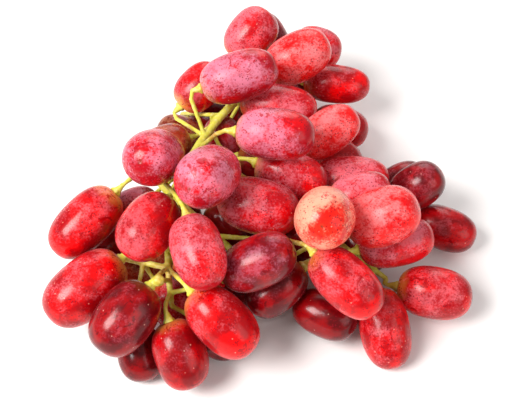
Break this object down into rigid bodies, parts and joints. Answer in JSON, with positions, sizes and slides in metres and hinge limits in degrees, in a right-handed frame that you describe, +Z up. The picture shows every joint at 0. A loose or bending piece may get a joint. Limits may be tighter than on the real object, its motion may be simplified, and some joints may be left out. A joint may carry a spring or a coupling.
{
  "type": "bunch of grapes",
  "caption": "A bunch of oblong red table grapes on its branched green stem, lying on its side on a flat surface.",
  "frame": {"origin": "on the table under the middle of the bunch's box", "axes": "+Z up from the table, +Y from the broad end, which faces the viewer, to the tip at the back, +X to the right as seen in the picture"},
  "size_m": [0.1618, 0.1804, 0.0698],
  "materials": {
    "skin_red": "taut grape skin, bright red, thin waxy bloom",
    "skin_rose": "taut grape skin, rose red under pale bloom",
    "skin_dark": "taut grape skin, dark maroon, thin waxy bloom",
    "green_stem": "fresh green stem, slightly knobbly"
  },
  "bodies": {
    "root": {"tip_berry_1": "skin_rose", "tip_berry_2": "skin_rose", "tip_berry_3": "skin_red", "tip_berry_4": "skin_red", "tip_berry_5": "skin_rose", "tip_berry_6": "skin_red", "tip_berry_7": "skin_red", "tip_berry_8": "skin_rose", "tip_berry_9": "skin_rose", "tip_berry_10": "skin_red", "tip_berry_11": "skin_red", "tip_berry_12": "skin_dark", "tip_berry_13": "skin_dark", "tip_berry_14": "skin_red", "tip_berry_15": "skin_dark", "tip_berry_16": "skin_dark", "tip_berry_17": "skin_dark", "middle_berry_1": "skin_rose", "middle_berry_2": "skin_rose", "middle_berry_3": "skin_dark", "middle_berry_4": "skin_dark", "middle_berry_5": "skin_rose", "middle_berry_6": "skin_rose", "middle_berry_7": "skin_dark", "middle_berry_8": "skin_dark", "middle_berry_9": "skin_dark", "middle_berry_10": "skin_dark", "middle_berry_11": "skin_dark", "middle_berry_12": "skin_dark", "right_berry_1": "skin_dark", "right_berry_2": "skin_red", "right_berry_3": "skin_rose", "right_berry_4": "skin_rose", "right_berry_5": "skin_rose", "right_berry_6": "skin_rose", "right_berry_7": "skin_dark", "right_berry_8": "skin_dark", "right_berry_9": "skin_dark", "right_berry_10": "skin_red", "right_berry_11": "skin_red", "right_berry_12": "skin_red", "right_berry_13": "skin_dark", "right_berry_14": "skin_dark", "right_berry_15": "skin_dark", "left_berry_1": "skin_red", "left_berry_2": "skin_red", "left_berry_3": "skin_red", "left_berry_4": "skin_red", "left_berry_5": "skin_dark", "left_berry_6": "skin_dark", "left_berry_7": "skin_red", "left_berry_8": "skin_red", "left_berry_9": "skin_dark", "left_berry_10": "skin_dark", "left_berry_11": "skin_dark", "left_berry_12": "skin_dark", "left_berry_13": "skin_dark", "left_berry_14": "skin_dark", "left_berry_15": "skin_dark", "stem": "green_stem"}
  },
  "joints": []
}
